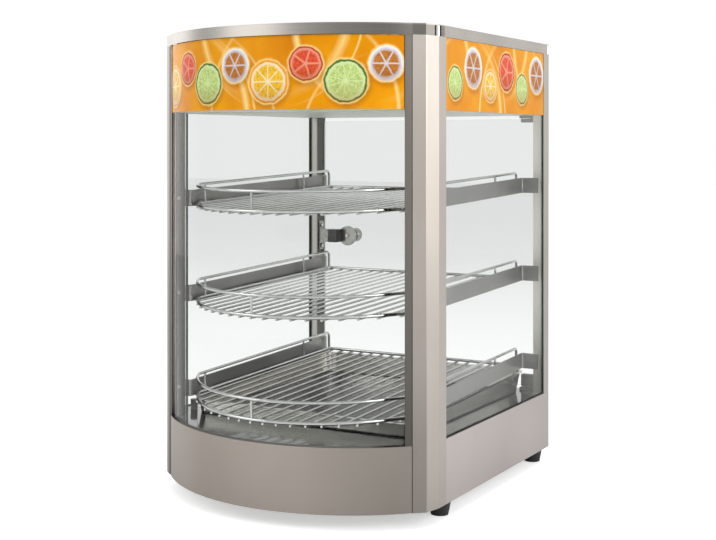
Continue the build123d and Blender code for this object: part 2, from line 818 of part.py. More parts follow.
disc_y = (back_y - door_glass - disc_thickness, back_y - door_glass)
strike_disc = rod((knob_x, disc_y[0], knob_z), (knob_x, disc_y[1], knob_z), disc_diameter)
strike_disc = fillet(strike_disc.edges().group_by(Axis.Y)[0], disc_edge)
save("door_strike_disc", strike_disc)
disc_screw = pan_head(knob_x, disc_y[0], knob_z, (0, 1, 0))
head_middle_y = disc_y[0] - screw_head_height / 2
disc_screw &= Pos(knob_x, head_middle_y, knob_z) * Box(screw_head, screw_head_height, screw_head)
save("door_disc_screw", disc_screw)

# Magnetic catch: a magnet on a bracket that is screwed to the inner side of the left rear post
magnet_y = (magnet_y_end - magnet[1], magnet_y_end)
magnet_x = (magnet_inner_x - magnet[0], magnet_inner_x)
magnet_z = (knob_z - magnet[2] / 2, knob_z + magnet[2] / 2)
save("catch_magnet", block(magnet_x, magnet_y, magnet_z))
flange_z = (knob_z - bracket_height / 2, knob_z + bracket_height / 2)
catch_bracket = block((-post_inner_x, bracket_face_x), bracket_y, flange_z)
catch_bracket += block((-post_inner_x, magnet_x[0]), bracket_y, magnet_z)
save("catch_bracket", catch_bracket - screw_holes(catch_screws))

# Heating element: a bent tube under the deck, held by clips, with its ends at the back
element_z = deck_z - element_drop
element_path = FilletPolyline(
    (-element_lead_x, element_lead_y, element_z),
    (-element_lead_x, element_runs_y[1], element_z),
    (-element_half_width, element_runs_y[1], element_z),
    (-element_half_width, element_runs_y[0], element_z),
    (element_half_width, element_runs_y[0], element_z),
    (element_half_width, element_runs_y[1], element_z),
    (element_lead_x, element_runs_y[1], element_z),
    (element_lead_x, element_lead_y, element_z),
    radius=element_bend,
)
save("heating_element", bent_wire(element_path.wire(), element_tube))
element_clips = None
for clip_x_at in (-element_half_width, element_half_width):
    clip_mid = (clip_x_at, sum(element_runs_y) / 2)
    ring = Cylinder(element_tube / 2 + sheet, element_clip[0])
    ring -= Cylinder(element_tube / 2 + running_gap, element_clip[0])
    ring = Pos(*clip_mid, element_z) * Rot(X=90) * ring
    stem_z = (element_z + element_tube / 2 + sheet / 2, deck_z - sheet)
    stem = block(
        (clip_x_at - element_clip[1] / 2, clip_x_at + element_clip[1] / 2),
        (clip_mid[1] - element_clip[0] / 2, clip_mid[1] + element_clip[0] / 2),
        stem_z,
    )
    clip = ring + stem
    element_clips = clip if element_clips is None else element_clips + clip
save("element_clips", element_clips)

# Thermostat behind the panel, with its dial on a shaft
shaft_bore = rod(
    (thermostat_x, back_y - sheet - shaft_grip, controls_z),
    (thermostat_x, back_y, controls_z),
    shaft_diameter + 2 * running_gap,
)
box_y = back_y - sheet - thermostat_body[1] / 2
thermostat = Pos(thermostat_x, box_y, controls_z) * Box(*thermostat_body)
save("thermostat_body", thermostat - shaft_bore)
dial_y = back_y + body_gap
wing_length = dial_height + dial_grip_edge


def dial_rod(y_start, y_end, diameter):
    return rod((thermostat_x, y_start, controls_z), (thermostat_x, y_end, controls_z), diameter)


grip = dial_rod(dial_y, dial_y + dial_height, dial_grip)
dial = dial_rod(dial_y, dial_y + dial_skirt, dial_diameter)
dial += fillet(grip.edges().group_by(Axis.Y)[-1], dial_grip_edge)
dial += Pos(thermostat_x, dial_y + wing_length / 2, controls_z) * Box(dial_wing[0], wing_length, dial_wing[1])
dial += dial_rod(back_y - shaft_grip, dial_y, shaft_diameter)
save("thermostat_dial", dial)

# Rocker switches: a housing through the panel and a rocker on two pins
pivot_y = back_y + bezel[2] / 2


def switch_housing(x):
    plate_z = (controls_z - bezel[1] / 2, controls_z + bezel[1] / 2)
    front_plate = block((x - bezel[0] / 2, x + bezel[0] / 2), (back_y, back_y + bezel[2]), plate_z)
    shell = block(
        (x - switch_hole[0] / 2 + fit_gap, x + switch_hole[0] / 2 - fit_gap),
        (back_y - switch_depth, back_y),
        (controls_z - switch_hole[1] / 2 + fit_gap, controls_z + switch_hole[1] / 2 - fit_gap),
    )
    well = block(
        (x - rocker_width / 2 - body_gap, x + rocker_width / 2 + body_gap),
        (back_y - switch_depth / 2, back_y + 2 * bezel[2]),
        (controls_z - rocker_length / 2 - rocker_end_gap, controls_z + rocker_length / 2 + rocker_end_gap),
    )
    pin_ends = [(x + side * rocker_width, pivot_y, controls_z) for side in (-1, 1)]
    return front_plate + shell - well - rod(*pin_ends, rocker_pin + 2 * running_gap)


def rocker(x):
    reach_z = rocker_length / 2
    profile = [(-reach_z, -rocker_skirt), (-reach_z, rocker_tip), (0, rocker_dip), (reach_z, rocker_tip)]
    profile += [(reach_z, -rocker_skirt), (0, -2 * rocker_skirt)]
    outline = Polyline(*[(y, z) for z, y in profile], close=True)
    body = extrude(Plane.YZ * make_face(outline), rocker_width / 2, both=True)
    pin_half = switch_hole[0] / 2 - fit_gap
    body += rod((-pin_half, 0, 0), (pin_half, 0, 0), rocker_pin)
    return Pos(x, pivot_y, controls_z) * Rot(X=rocker_tilt) * body


housings = None
for name, switch_x in switch_xs.items():
    housing = switch_housing(switch_x)
    housings = housing if housings is None else housings + housing
    save(f"{name}_rocker", rocker(switch_x))
save("switch_housings", housings)

# Pilot lamp, cord gland and terminal block
def through_panel(x, inside, outside, diameter):
    """Round bar at x through the back panel, given how far it goes in and out from the panel's face."""
    return rod((x, back_y - inside, controls_z), (x, back_y + outside, controls_z), diameter)


lens = through_panel(lamp_lens_x, lamp_lens_depth, 0, lamp_lens - 2 * fit_gap)
cap = through_panel(lamp_lens_x, 0, lamp_cap_height, lamp_cap)
save("pilot_lamp", lens + fillet(cap.edges().group_by(Axis.Y)[-1], lamp_cap_edge))

gland = through_panel(gland_x, 0, gland_flange_height, gland_flange)
gland += through_panel(gland_x, gland_depth, gland_reach, gland_hole - 2 * fit_gap)
gland -= through_panel(gland_x, gland_depth, gland_reach, gland_bore)
save("cord_gland", gland)

terminal_z = base_z + 2 * sheet + terminal_block[2] / 2
save("terminal_block", Pos(gland_x, back_y - terminal_from_back, terminal_z) * Box(*terminal_block))

# The case's screws, all of one kind
case_screws = pan_head(*catch_screws[0]) + pan_head(*catch_screws[1])
for screw in tab_screws + panel_screws:
    case_screws += both_sides(pan_head(*screw))
save("case_screws", case_screws)
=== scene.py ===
# Heated countertop display case: the finish of every piece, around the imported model. Metres, +Z up.
import math

import bpy
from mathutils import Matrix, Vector


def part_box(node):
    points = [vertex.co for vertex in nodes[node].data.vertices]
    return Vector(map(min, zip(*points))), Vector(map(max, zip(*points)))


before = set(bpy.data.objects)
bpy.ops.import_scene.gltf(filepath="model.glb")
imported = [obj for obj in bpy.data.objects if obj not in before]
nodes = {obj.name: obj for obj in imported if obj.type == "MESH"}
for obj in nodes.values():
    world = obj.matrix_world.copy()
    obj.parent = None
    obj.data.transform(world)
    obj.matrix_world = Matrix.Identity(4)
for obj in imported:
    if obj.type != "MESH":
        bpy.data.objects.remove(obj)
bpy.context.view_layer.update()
scene = bpy.context.scene
scene.view_settings.view_transform = "Standard"

# The view of the photograph: from the right of the front, a little under the header.
# The frame is 716 by 540, and the shift puts the level horizon above the middle of the picture.
camera_data = bpy.data.cameras.new("view")
camera_data.lens = 63.9
camera_data.sensor_width = 36
camera_data.shift_y = -0.1763
camera = bpy.data.objects.new("view", camera_data)
camera.location = (0.8738, -1.5235, 0.4607)
camera.rotation_euler = (math.radians(90), 0, math.radians(29.61))
scene.collection.objects.link(camera)
scene.camera = camera

# A white studio: a white floor, an even white surround and soft lamps round the case.
# The floor glows a little for the camera, so it looks white and still takes the case's shadow.
floor_half = 12
floor_mesh = bpy.data.meshes.new("floor")
floor_corners = [(x * floor_half, y * floor_half, 0) for x, y in ((-1, -1), (1, -1), (1, 1), (-1, 1))]
floor_mesh.from_pydata(floor_corners, [], [(0, 1, 2, 3)])
floor = bpy.data.objects.new("floor", floor_mesh)
scene.collection.objects.link(floor)
floor_paint = bpy.data.materials.new("floor_paint")
floor_paint.use_nodes = True
tree = floor_paint.node_tree
shader = tree.nodes["Principled BSDF"]
shader.inputs["Base Color"].default_value = (0.93, 0.93, 0.93, 1)
shader.inputs["Roughness"].default_value = 0.9
shader.inputs["Emission Color"].default_value = (1, 1, 1, 1)
path = tree.nodes.new("ShaderNodeLightPath")
direct = tree.nodes.new("ShaderNodeMath")
direct.operation = "MULTIPLY"
direct.inputs[1].default_value = 0.5
through_glass = tree.nodes.new("ShaderNodeMath")
through_glass.operation = "MULTIPLY_ADD"
through_glass.inputs[1].default_value = 0.2
tree.links.new(path.outputs["Is Camera Ray"], direct.inputs[0])
tree.links.new(path.outputs["Is Transmission Ray"], through_glass.inputs[0])
tree.links.new(direct.outputs[0], through_glass.inputs[2])
tree.links.new(through_glass.outputs[0], shader.inputs["Emission Strength"])
floor_mesh.materials.append(floor_paint)

surround = bpy.data.worlds.new("surround")
surround.use_nodes = True
scene.world = surround
tree = surround.node_tree
background = tree.nodes["Background"]
background.inputs["Color"].default_value = (1, 1, 1, 1)
path = tree.nodes.new("ShaderNodeLightPath")
strength = tree.nodes.new("ShaderNodeMapRange")
strength.inputs["To Min"].default_value = 1
strength.inputs["To Max"].default_value = 0.72
tree.links.new(path.outputs["Is Diffuse Ray"], strength.inputs["Value"])
tree.links.new(strength.outputs["Result"], background.inputs["Strength"])

case_middle = Vector((0, 0, 0.3))
for name, place, size, power in (
    ("lamp_right", (2.2, -0.9, 1.3), 1.0, 22),
    ("lamp_left", (-1.8, -1.6, 1.5), 1.4, 14),
    ("lamp_above", (0.2, 0.4, 2.4), 1.6, 16),
):
    lamp_data = bpy.data.lights.new(name, "AREA")
    lamp_data.size = size
    lamp_data.energy = power
    lamp = bpy.data.objects.new(name, lamp_data)
    lamp.location = place
    lamp.rotation_euler = (case_middle - Vector(place)).to_track_quat("-Z", "Y").to_euler()
    lamp.visible_glossy = False
    scene.collection.objects.link(lamp)

# A round of white and grey cards, out of sight, for the bright metal to mirror.
# Each card has its bearing in degrees from straight ahead, to the right, and its brightness.
cards = (
    (-180, 0.85), (-150, 1.1), (-120, 1.3), (-94, 1.7), (-70, 0.6), (-30, 1.8), (0, 0.65),
    (52, 0.55), (64, 1.3), (96, 1.4), (124, 2.45), (142, 1.2), (158, 0.85), (180, 0.8),
)
ring_radius = 3.5
ring_steps = 96
ring_low, ring_high = 0.02, 2.6
ring_mesh = bpy.data.meshes.new("cards")
ring_points = []
for i in range(ring_steps):
    turn = 2 * math.pi * i / ring_steps
    for z in (ring_low, ring_high):
        ring_points.append((ring_radius * math.sin(turn), -ring_radius * math.cos(turn), z))
ring_faces = []
for i in range(ring_steps):
    j = (i + 1) % ring_steps
    ring_faces.append((2 * i, 2 * j, 2 * j + 1, 2 * i + 1))
ring_mesh.from_pydata(ring_points, [], ring_faces)
card_paper = bpy.data.materials.new("card_paper")
card_paper.use_nodes = True
tree = card_paper.node_tree
shader = tree.nodes["Principled BSDF"]
shader.inputs["Base Color"].default_value = (0, 0, 0, 1)
shader.inputs["Roughness"].default_value = 1
shader.inputs["Emission Color"].default_value = (1, 0.99, 0.975, 1)
place = tree.nodes.new("ShaderNodeTexCoord")
split = tree.nodes.new("ShaderNodeSeparateXYZ")
ahead = tree.nodes.new("ShaderNodeMath")
ahead.operation = "MULTIPLY"
ahead.inputs[1].default_value = -1
bearing = tree.nodes.new("ShaderNodeMath")
bearing.operation = "ARCTAN2"
turned = tree.nodes.new("ShaderNodeMapRange")
turned.inputs["From Min"].default_value = -math.pi
turned.inputs["From Max"].default_value = math.pi
curve = tree.nodes.new("ShaderNodeFloatCurve")
brightest = 2.5
points = curve.mapping.curves[0].points
for index, (degrees, brightness) in enumerate(cards):
    spot = ((degrees + 180) / 360, brightness / brightest)
    if index == 0:
        points[0].location = spot
    elif index == len(cards) - 1:
        points[-1].location = spot
    else:
        points.new(*spot)
curve.mapping.update()
gain = tree.nodes.new("ShaderNodeMath")
gain.operation = "MULTIPLY"
gain.inputs[1].default_value = brightest
tree.links.new(place.outputs["Object"], split.inputs[0])
tree.links.new(split.outputs["Y"], ahead.inputs[0])
tree.links.new(split.outputs["X"], bearing.inputs[0])
tree.links.new(ahead.outputs[0], bearing.inputs[1])
tree.links.new(bearing.outputs[0], turned.inputs["Value"])
tree.links.new(turned.outputs["Result"], curve.inputs["Value"])
tree.links.new(curve.outputs["Value"], gain.inputs[0])
tree.links.new(gain.outputs[0], shader.inputs["Emission Strength"])
ring_mesh.materials.append(card_paper)
ring = bpy.data.objects.new("cards", ring_mesh)
ring.visible_camera = False
ring.visible_shadow = False
ring.visible_diffuse = False
ring.visible_transmission = False
scene.collection.objects.link(ring)

# The base: a curved stainless skirt, two wrapped side panels, a back panel and a slotted bottom plate.
# All are brushed sheet, and the grain runs level round the case. The skirt's colour is painted darker
# towards both its ends, and the side panels' towards the back: painted shade in their reflections.


def new_finish(name, colour, roughness, metallic=0.0):
    """A material with its plain values set; returns it with its node tree and its shader."""
    material = bpy.data.materials.new(name)
    material.use_nodes = True
    shader = material.node_tree.nodes["Principled BSDF"]
    shader.inputs["Base Color"].default_value = (*colour, 1)
    shader.inputs["Roughness"].default_value = roughness
    shader.inputs["Metallic"].default_value = metallic
    return material, material.node_tree, shader


def grain(tree, scale, detail=3.0):
    """Noise stretched by a scale on each axis, in metres of the object."""
    place = tree.nodes.new("ShaderNodeTexCoord")
    stretch = tree.nodes.new("ShaderNodeMapping")
    stretch.inputs["Scale"].default_value = scale
    noise = tree.nodes.new("ShaderNodeTexNoise")
    noise.inputs["Scale"].default_value = 1
    noise.inputs["Detail"].default_value = detail
    tree.links.new(place.outputs["Object"], stretch.inputs["Vector"])
    tree.links.new(stretch.outputs["Vector"], noise.inputs["Vector"])
    return noise.outputs["Fac"]


def spread(tree, value, low, high, socket):
    """Feeds a socket with a value from 0 to 1, spread between two limits."""
    ranged = tree.nodes.new("ShaderNodeMapRange")
    ranged.inputs["To Min"].default_value = low
    ranged.inputs["To Max"].default_value = high
    tree.links.new(value, ranged.inputs["Value"])
    tree.links.new(ranged.outputs["Result"], socket)


def two_tones(tree, value, dark, light, socket):
    """Feeds a colour socket with a blend of two tones."""
    stops = tree.nodes.new("ShaderNodeValToRGB")
    for element, tint, position in zip(stops.color_ramp.elements, (dark, light), (0.3, 0.7)):
        element.color = (*tint, 1)
        element.position = position
    tree.links.new(value, stops.inputs["Fac"])
    tree.links.new(stops.outputs["Color"], socket)


def bump(tree, value, depth, shader):
    """Raises the surface by a value, to a depth in metres."""
    node = tree.nodes.new("ShaderNodeBump")
    node.inputs["Distance"].default_value = depth
    tree.links.new(value, node.inputs["Height"])
    tree.links.new(node.outputs["Normal"], shader.inputs["Normal"])


def coordinate(tree, axis):
    """One coordinate of the surface, in metres."""
    place = tree.nodes.new("ShaderNodeTexCoord")
    split = tree.nodes.new("ShaderNodeSeparateXYZ")
    tree.links.new(place.outputs["Object"], split.inputs[0])
    return split.outputs[axis]


def ramp(tree, value, start, end, low, high):
    """A value that goes from low to high while another goes from start to end."""
    ranged = tree.nodes.new("ShaderNodeMapRange")
    for key, number in (("From Min", start), ("From Max", end), ("To Min", low), ("To Max", high)):
        ranged.inputs[key].default_value = number
    tree.links.new(value, ranged.inputs["Value"])
    return ranged.outputs["Result"]


def tone(material, value):
    """Multiplies a finish's colour by a value; the script paints light and shade with it."""
    tree = material.node_tree
    shader = tree.nodes["Principled BSDF"]
    scaled = tree.nodes.new("ShaderNodeVectorMath")
    scaled.operation = "SCALE"
    tree.links.new(shader.inputs["Base Color"].links[0].from_socket, scaled.inputs[0])
    tree.links.new(value, scaled.inputs["Scale"])
    tree.links.new(scaled.outputs[0], shader.inputs["Base Color"])


def brushed_sheet(name, dark, light, along, roughness=0.34, unevenness=0.08, depth=0.00003):
    """Brushed stainless: fine scratches along one axis, broad soft stains and a slight unevenness."""
    material, tree, shader = new_finish(name, light, roughness, metallic=1.0)
    fine = {"X": (6, 900, 900), "Y": (900, 6, 900), "Z": (900, 900, 6), "level": (9, 9, 1400)}[along]
    stains = grain(tree, (5, 5, 3))
    scratches = grain(tree, fine, detail=5)
    two_tones(tree, stains, dark, light, shader.inputs["Base Color"])
    spread(tree, scratches, roughness - unevenness, roughness + unevenness, shader.inputs["Roughness"])
    if depth:
        bump(tree, scratches, depth, shader)
    return material


def dress(node_names, material):
    """Gives CAD nodes their finish."""
    for node_name in node_names:
        slots = nodes[node_name].material_slots
        for slot in slots:
            slot.material = material


base_steel = brushed_sheet("base_steel", (0.325, 0.288, 0.252), (0.395, 0.355, 0.315), "level", 0.36)
dress(["base_back_panel"], base_steel)
skirt_steel = brushed_sheet("skirt_steel", (0.325, 0.290, 0.256), (0.385, 0.350, 0.315), "level", 0.36)
tree = skirt_steel.node_tree
# Painted shade: the skirt's colour is darkened towards its right end and its left end.
skirt_left_shaded_end, skirt_right_shaded_end = (-0.19, -0.13), (0.07, 0.18)
tone(skirt_steel, ramp(tree, coordinate(tree, "X"), *skirt_right_shaded_end, 1, 0.72))
tone(skirt_steel, ramp(tree, coordinate(tree, "X"), *skirt_left_shaded_end, 0.82, 1))
dress(["base_front_skirt"], skirt_steel)
side_steel = brushed_sheet("side_steel", (0.43, 0.385, 0.370), (0.50, 0.455, 0.440), "level", 0.36)
tree = side_steel.node_tree
# Painted shade: the side panels' colour darkens from front to back.
side_shade_start, side_shade_end = -0.10, 0.20
tone(side_steel, ramp(tree, coordinate(tree, "Y"), side_shade_start, side_shade_end, 1.02, 0.86))
dress(["base_side_panel_left", "base_side_panel_right"], side_steel)
dress(["bottom_plate"], brushed_sheet("plate_steel", (0.26, 0.25, 0.235), (0.34, 0.33, 0.31), "X", 0.42))

# Four moulded rubber feet, cone-shaped and matt black, each held by a plated screw from inside.
# They are 20 mm high and narrow from 30 mm under the base to 22 mm on the floor.
foot_rubber, tree, shader = new_finish("foot_rubber", (0.012, 0.012, 0.013), 0.62)
pores = grain(tree, (900, 900, 900))
two_tones(tree, pores, (0.009, 0.009, 0.010), (0.020, 0.020, 0.021), shader.inputs["Base Color"])
spread(tree, grain(tree, (60, 60, 60)), 0.5, 0.72, shader.inputs["Roughness"])
bump(tree, pores, 0.00006, shader)
dress(["feet"], foot_rubber)

# Front columns and rear posts: stainless with a fine upright grain and a warm satin look.
# The columns are sheet folded round the ends of the curved glass, and the posts are square tubes.
# The columns' colour is painted lighter towards the head, with a different painted brightness on each fold:
# painted light and shade for their reflections. The strip of a column that laps over the glass is darker.
column_foot, column_head = 0.10, 0.58
lip_edge, lip_inner_radius = 0.182, 0.2485
fold_edge = 0.1945
edge_blur = 0.0006


def partly(tree, share, value):
    """One where the share is nothing, and the value where the share is one."""
    less_one = tree.nodes.new("ShaderNodeMath")
    less_one.operation = "SUBTRACT"
    less_one.inputs[1].default_value = 1
    mixed = tree.nodes.new("ShaderNodeMath")
    mixed.operation = "MULTIPLY_ADD"
    mixed.inputs[2].default_value = 1
    tree.links.new(value, less_one.inputs[0])
    tree.links.new(share, mixed.inputs[0])
    tree.links.new(less_one.outputs[0], mixed.inputs[1])
    return mixed.outputs[0]


def off_centre(tree):
    """Distance to the left or right of the middle plane."""
    node = tree.nodes.new("ShaderNodeMath")
    node.operation = "ABSOLUTE"
    tree.links.new(coordinate(tree, "X"), node.inputs[0])
    return node.outputs[0]


def column_finish(name, side, front, inner, lip_share):
    """Upright brushed sheet with painted light and shade; each pair gives the colour factor at the foot and
    at the head of one fold.
    """
    material = brushed_sheet(name, (0.42, 0.38, 0.345), (0.50, 0.462, 0.425), "Z", 0.33)
    tree = material.node_tree
    height = coordinate(tree, "Z")
    sideways = off_centre(tree)
    inside_fold = ramp(tree, sideways, fold_edge, fold_edge + edge_blur, 1, 0)
    inside_lip = ramp(tree, sideways, lip_edge - edge_blur, lip_edge, 1, 0)
    # Painted light and shade: each fold's colour is scaled from foot to head.
    tone(material, ramp(tree, height, column_foot, column_head, *side))
    tone(material, partly(tree, inside_fold, ramp(tree, height, column_foot, column_head, *front)))
    tone(material, partly(tree, inside_lip, ramp(tree, height, column_foot, column_head, *inner)))
    flat = tree.nodes.new("ShaderNodeMapping")
    flat.inputs["Scale"].default_value = (1, 1, 0)
    place = tree.nodes.new("ShaderNodeTexCoord")
    radius = tree.nodes.new("ShaderNodeVectorMath")
    radius.operation = "LENGTH"
    tree.links.new(place.outputs["Object"], flat.inputs["Vector"])
    tree.links.new(flat.outputs["Vector"], radius.inputs[0])
    outer_skin = ramp(tree, radius.outputs["Value"], lip_inner_radius, lip_inner_radius + edge_blur, 0, 1)
    on_lip = tree.nodes.new("ShaderNodeMath")
    on_lip.operation = "MULTIPLY"
    tree.links.new(outer_skin, on_lip.inputs[0])
    tree.links.new(inside_lip, on_lip.inputs[1])
    tone(material, ramp(tree, on_lip.outputs[0], 0, 1, 1, lip_share))
    return material


dress(["front_column_right"], column_finish("column_steel", (0.88, 1.1), (0.62, 1.42), (1, 1), 0.36))
dress(["front_column_left"], column_finish("left_column_steel", (0.8, 1.2), (0.5, 0.6), (1.85, 2.7), 0.55))

# The right post's colour is painted darker on its outer side than on the face behind the glass, and lighter
# towards the head;
# the left one stands in the dark corner of the chamber, and its colour is painted dark except across the
# middle of its face: painted reflection and shade.
right_post_outside = (0.1965, 0.1985)
left_post_corner, left_post_edge = (-0.1945, -0.1915), (-0.1850, -0.1825)
right_post_steel = brushed_sheet("right_post_steel", (0.50, 0.475, 0.44), (0.58, 0.55, 0.51), "Z", 0.33)
tree = right_post_steel.node_tree
# Painted reflection: lighter on the face behind the glass, darker on the outer side, lighter towards the
# head.
tone(right_post_steel, ramp(tree, coordinate(tree, "X"), *right_post_outside, 1.42, 0.78))
tone(right_post_steel, ramp(tree, coordinate(tree, "Z"), column_foot, column_head, 0.85, 1.1))
dress(["rear_post_right"], right_post_steel)
left_post_steel = brushed_sheet("left_post_steel", (0.44, 0.42, 0.39), (0.52, 0.50, 0.46), "Z", 0.33)
tree = left_post_steel.node_tree
# Painted shade: dark at the corner and at the inner edge, leaving the middle of the face lit.
tone(left_post_steel, ramp(tree, coordinate(tree, "X"), *left_post_corner, 0.16, 1))
tone(left_post_steel, ramp(tree, coordinate(tree, "X"), *left_post_edge, 1, 0.2))
dress(["rear_post_left"], left_post_steel)

# The glass: 4 mm panes, the front one curved, and a 5 mm door, all with a faint grey-green body.
# The flat panes are green at their cut edges. Lamps shine through, so the racks inside are lit.


edge_green = (0.30, 0.50, 0.43)


def pane_finish(name, tint, flat_axis=None):
    """Clear glass that lets lamps through; a flat pane's cut edges are green."""
    material, tree, shader = new_finish(name, tint, 0.015)
    if flat_axis:
        place = tree.nodes.new("ShaderNodeTexCoord")
        split = tree.nodes.new("ShaderNodeSeparateXYZ")
        facing = tree.nodes.new("ShaderNodeMath")
        facing.operation = "ABSOLUTE"
        tree.links.new(place.outputs["Normal"], split.inputs[0])
        tree.links.new(split.outputs[flat_axis], facing.inputs[0])
        two_tones(tree, facing.outputs[0], edge_green, tint, shader.inputs["Base Color"])
    shader.inputs["Transmission Weight"].default_value = 1
    shader.inputs["IOR"].default_value = 1.12
    spread(tree, grain(tree, (3, 3, 3)), 0.005, 0.03, shader.inputs["Roughness"])
    clear = tree.nodes.new("ShaderNodeBsdfTransparent")
    clear.inputs["Color"].default_value = (*tint, 1)
    rays = tree.nodes.new("ShaderNodeLightPath")
    choice = tree.nodes.new("ShaderNodeMixShader")
    output = tree.nodes["Material Output"]
    tree.links.new(rays.outputs["Is Shadow Ray"], choice.inputs[0])
    tree.links.new(shader.outputs["BSDF"], choice.inputs[1])
    tree.links.new(clear.outputs["BSDF"], choice.inputs[2])
    tree.links.new(choice.outputs["Shader"], output.inputs["Surface"])
    return material


pane_tint = (0.893, 0.905, 0.899)
dress(["front_glass"], pane_finish("curved_glass", pane_tint))
dress(["side_glass_left", "side_glass_right"], pane_finish("side_glass", pane_tint, "X"))
dress(["door_glass"], pane_finish("door_pane", pane_tint, "Y"))

# Rubber channels hold the panes at the foot and at the upright edges.
# They are black, and the front one fades to grey in the middle of the case.
channel_rubber, tree, shader = new_finish("channel_rubber", (0.012, 0.012, 0.012), 0.5)
mottling = grain(tree, (200, 200, 200))
two_tones(tree, mottling, (0.008, 0.008, 0.008), (0.022, 0.022, 0.022), shader.inputs["Base Color"])
bump(tree, grain(tree, (1500, 1500, 1500)), 0.00002, shader)
dress(["side_glass_gaskets"], channel_rubber)
clear_rubber, tree, shader = new_finish("clear_rubber", (0.2, 0.19, 0.175), 0.45)
fade_start, fade_end = 0.125, 0.168
side_share = ramp(tree, off_centre(tree), fade_start, fade_end, 0, 1)
two_tones(tree, side_share, (0.17, 0.165, 0.15), (0.01, 0.01, 0.01), shader.inputs["Base Color"])
bump(tree, grain(tree, (1500, 1500, 1500)), 0.00002, shader)
dress(["front_glass_gasket"], clear_rubber)

# Printed header panels: orange film under a thin gloss, with pale swooshes, cut fruit and sliced buns.
# The print is worked out on the panel itself, from the distance along it and the height.
arc_middle_y = 0
banner_radius = 0.2494
print_orange = (0.80, 0.335, 0.001)
print_deep = (0.62, 0.19, 0.0005)
swoosh_cream = (0.90, 0.66, 0.24)
shadow_brown = (0.26, 0.07, 0.002)
glow_yellow = (0.92, 0.70, 0.26)
fruits = {}
for fruit, peel, pith, flesh, parts in (
    ("citrus", (0.80, 0.30, 0.01), (0.84, 0.72, 0.48), (0.86, 0.46, 0.03), 8),
    ("tomato", (0.45, 0.02, 0.015), (0.78, 0.30, 0.20), (0.66, 0.08, 0.03), 5),
    ("cucumber", (0.03, 0.14, 0.02), (0.62, 0.72, 0.34), (0.46, 0.60, 0.20), 11),
    ("bun", (0.78, 0.77, 0.80), (0.60, 0.58, 0.64), (0.46, 0.17, 0.03), 6),
):
    fruits[fruit] = {"peel": peel, "pith": pith, "flesh": flesh, "parts": parts}


